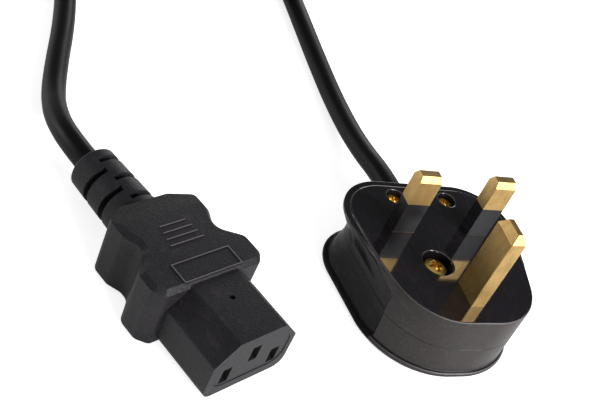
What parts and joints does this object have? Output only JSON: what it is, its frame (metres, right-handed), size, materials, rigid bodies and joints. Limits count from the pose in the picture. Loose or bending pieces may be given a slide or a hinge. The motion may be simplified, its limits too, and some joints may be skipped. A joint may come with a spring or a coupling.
{
  "type": "three pin plug",
  "caption": "Rewirable three pin plug with sleeved flat brass pins, waisted housing and sunk screws, on a round flexible cord that runs by a coil to a moulded appliance connector.",
  "frame": {"origin": "middle of the plug's footprint on the surface it lies on, cover down; the cord, its coil and the connector are left out of that footprint", "axes": "+Z along the pins and away from the surface, -Y towards the earth pin, +Y the way the cord leaves the plug, +X the live pin's side"},
  "size_m": [0.1182, 0.2587, 0.0424],
  "materials": {
    "plug_gloss": "polished hard moulded plastic, black",
    "plug_satin": "satin hard moulded plastic, black",
    "pin_brass": "brushed brass with brighter bevels",
    "screw_brass": "turned brass",
    "sleeve_plastic": "smooth insulating plastic, dark grey",
    "grip_plastic": "moulded fibre-filled plastic",
    "clip_bronze": "bent spring sheet",
    "fuse_ceramic": "glazed ceramic barrel, off white",
    "fuse_cap_plated": "nickel plated cap",
    "core_brown": "brown wire insulation",
    "core_blue": "blue wire insulation",
    "core_green": "green and yellow wire insulation",
    "cord_sheath": "smooth flexible sheath, black",
    "tie_rubber": "soft strap, black",
    "connector_plastic": "fine grained soft moulded plastic, black",
    "carrier_plastic": "hard moulded insert, black"
  },
  "bodies": {
    "root": {"plug_base": "plug_gloss", "plug_cover": "plug_satin", "live_pin": "pin_brass", "neutral_pin": "pin_brass", "earth_pin": "pin_brass", "live_pin_sleeve": "sleeve_plastic", "neutral_pin_sleeve": "sleeve_plastic", "cover_screw": "screw_brass", "cover_screw_insert": "screw_brass", "cord_grip_screw_left": "screw_brass", "cord_grip_screw_right": "screw_brass", "cord_grip_bar": "grip_plastic", "neutral_terminal_screw": "screw_brass", "earth_terminal_screw": "screw_brass", "live_terminal_screw": "screw_brass", "live_terminal": "clip_bronze", "fuse_clip": "clip_bronze", "fuse_tube": "fuse_ceramic", "fuse_cap_far": "fuse_cap_plated", "fuse_cap_near": "fuse_cap_plated", "core_live": "core_brown", "core_neutral": "core_blue", "core_earth": "core_green", "cord_plug_run": "cord_sheath", "cord_coil": "cord_sheath", "cord_connector_run": "cord_sheath", "coil_tie": "tie_rubber", "connector_body": "connector_plastic", "contact_carrier": "carrier_plastic", "connector_live_contact": "clip_bronze", "connector_neutral_contact": "clip_bronze", "connector_earth_contact": "clip_bronze"}
  },
  "joints": []
}
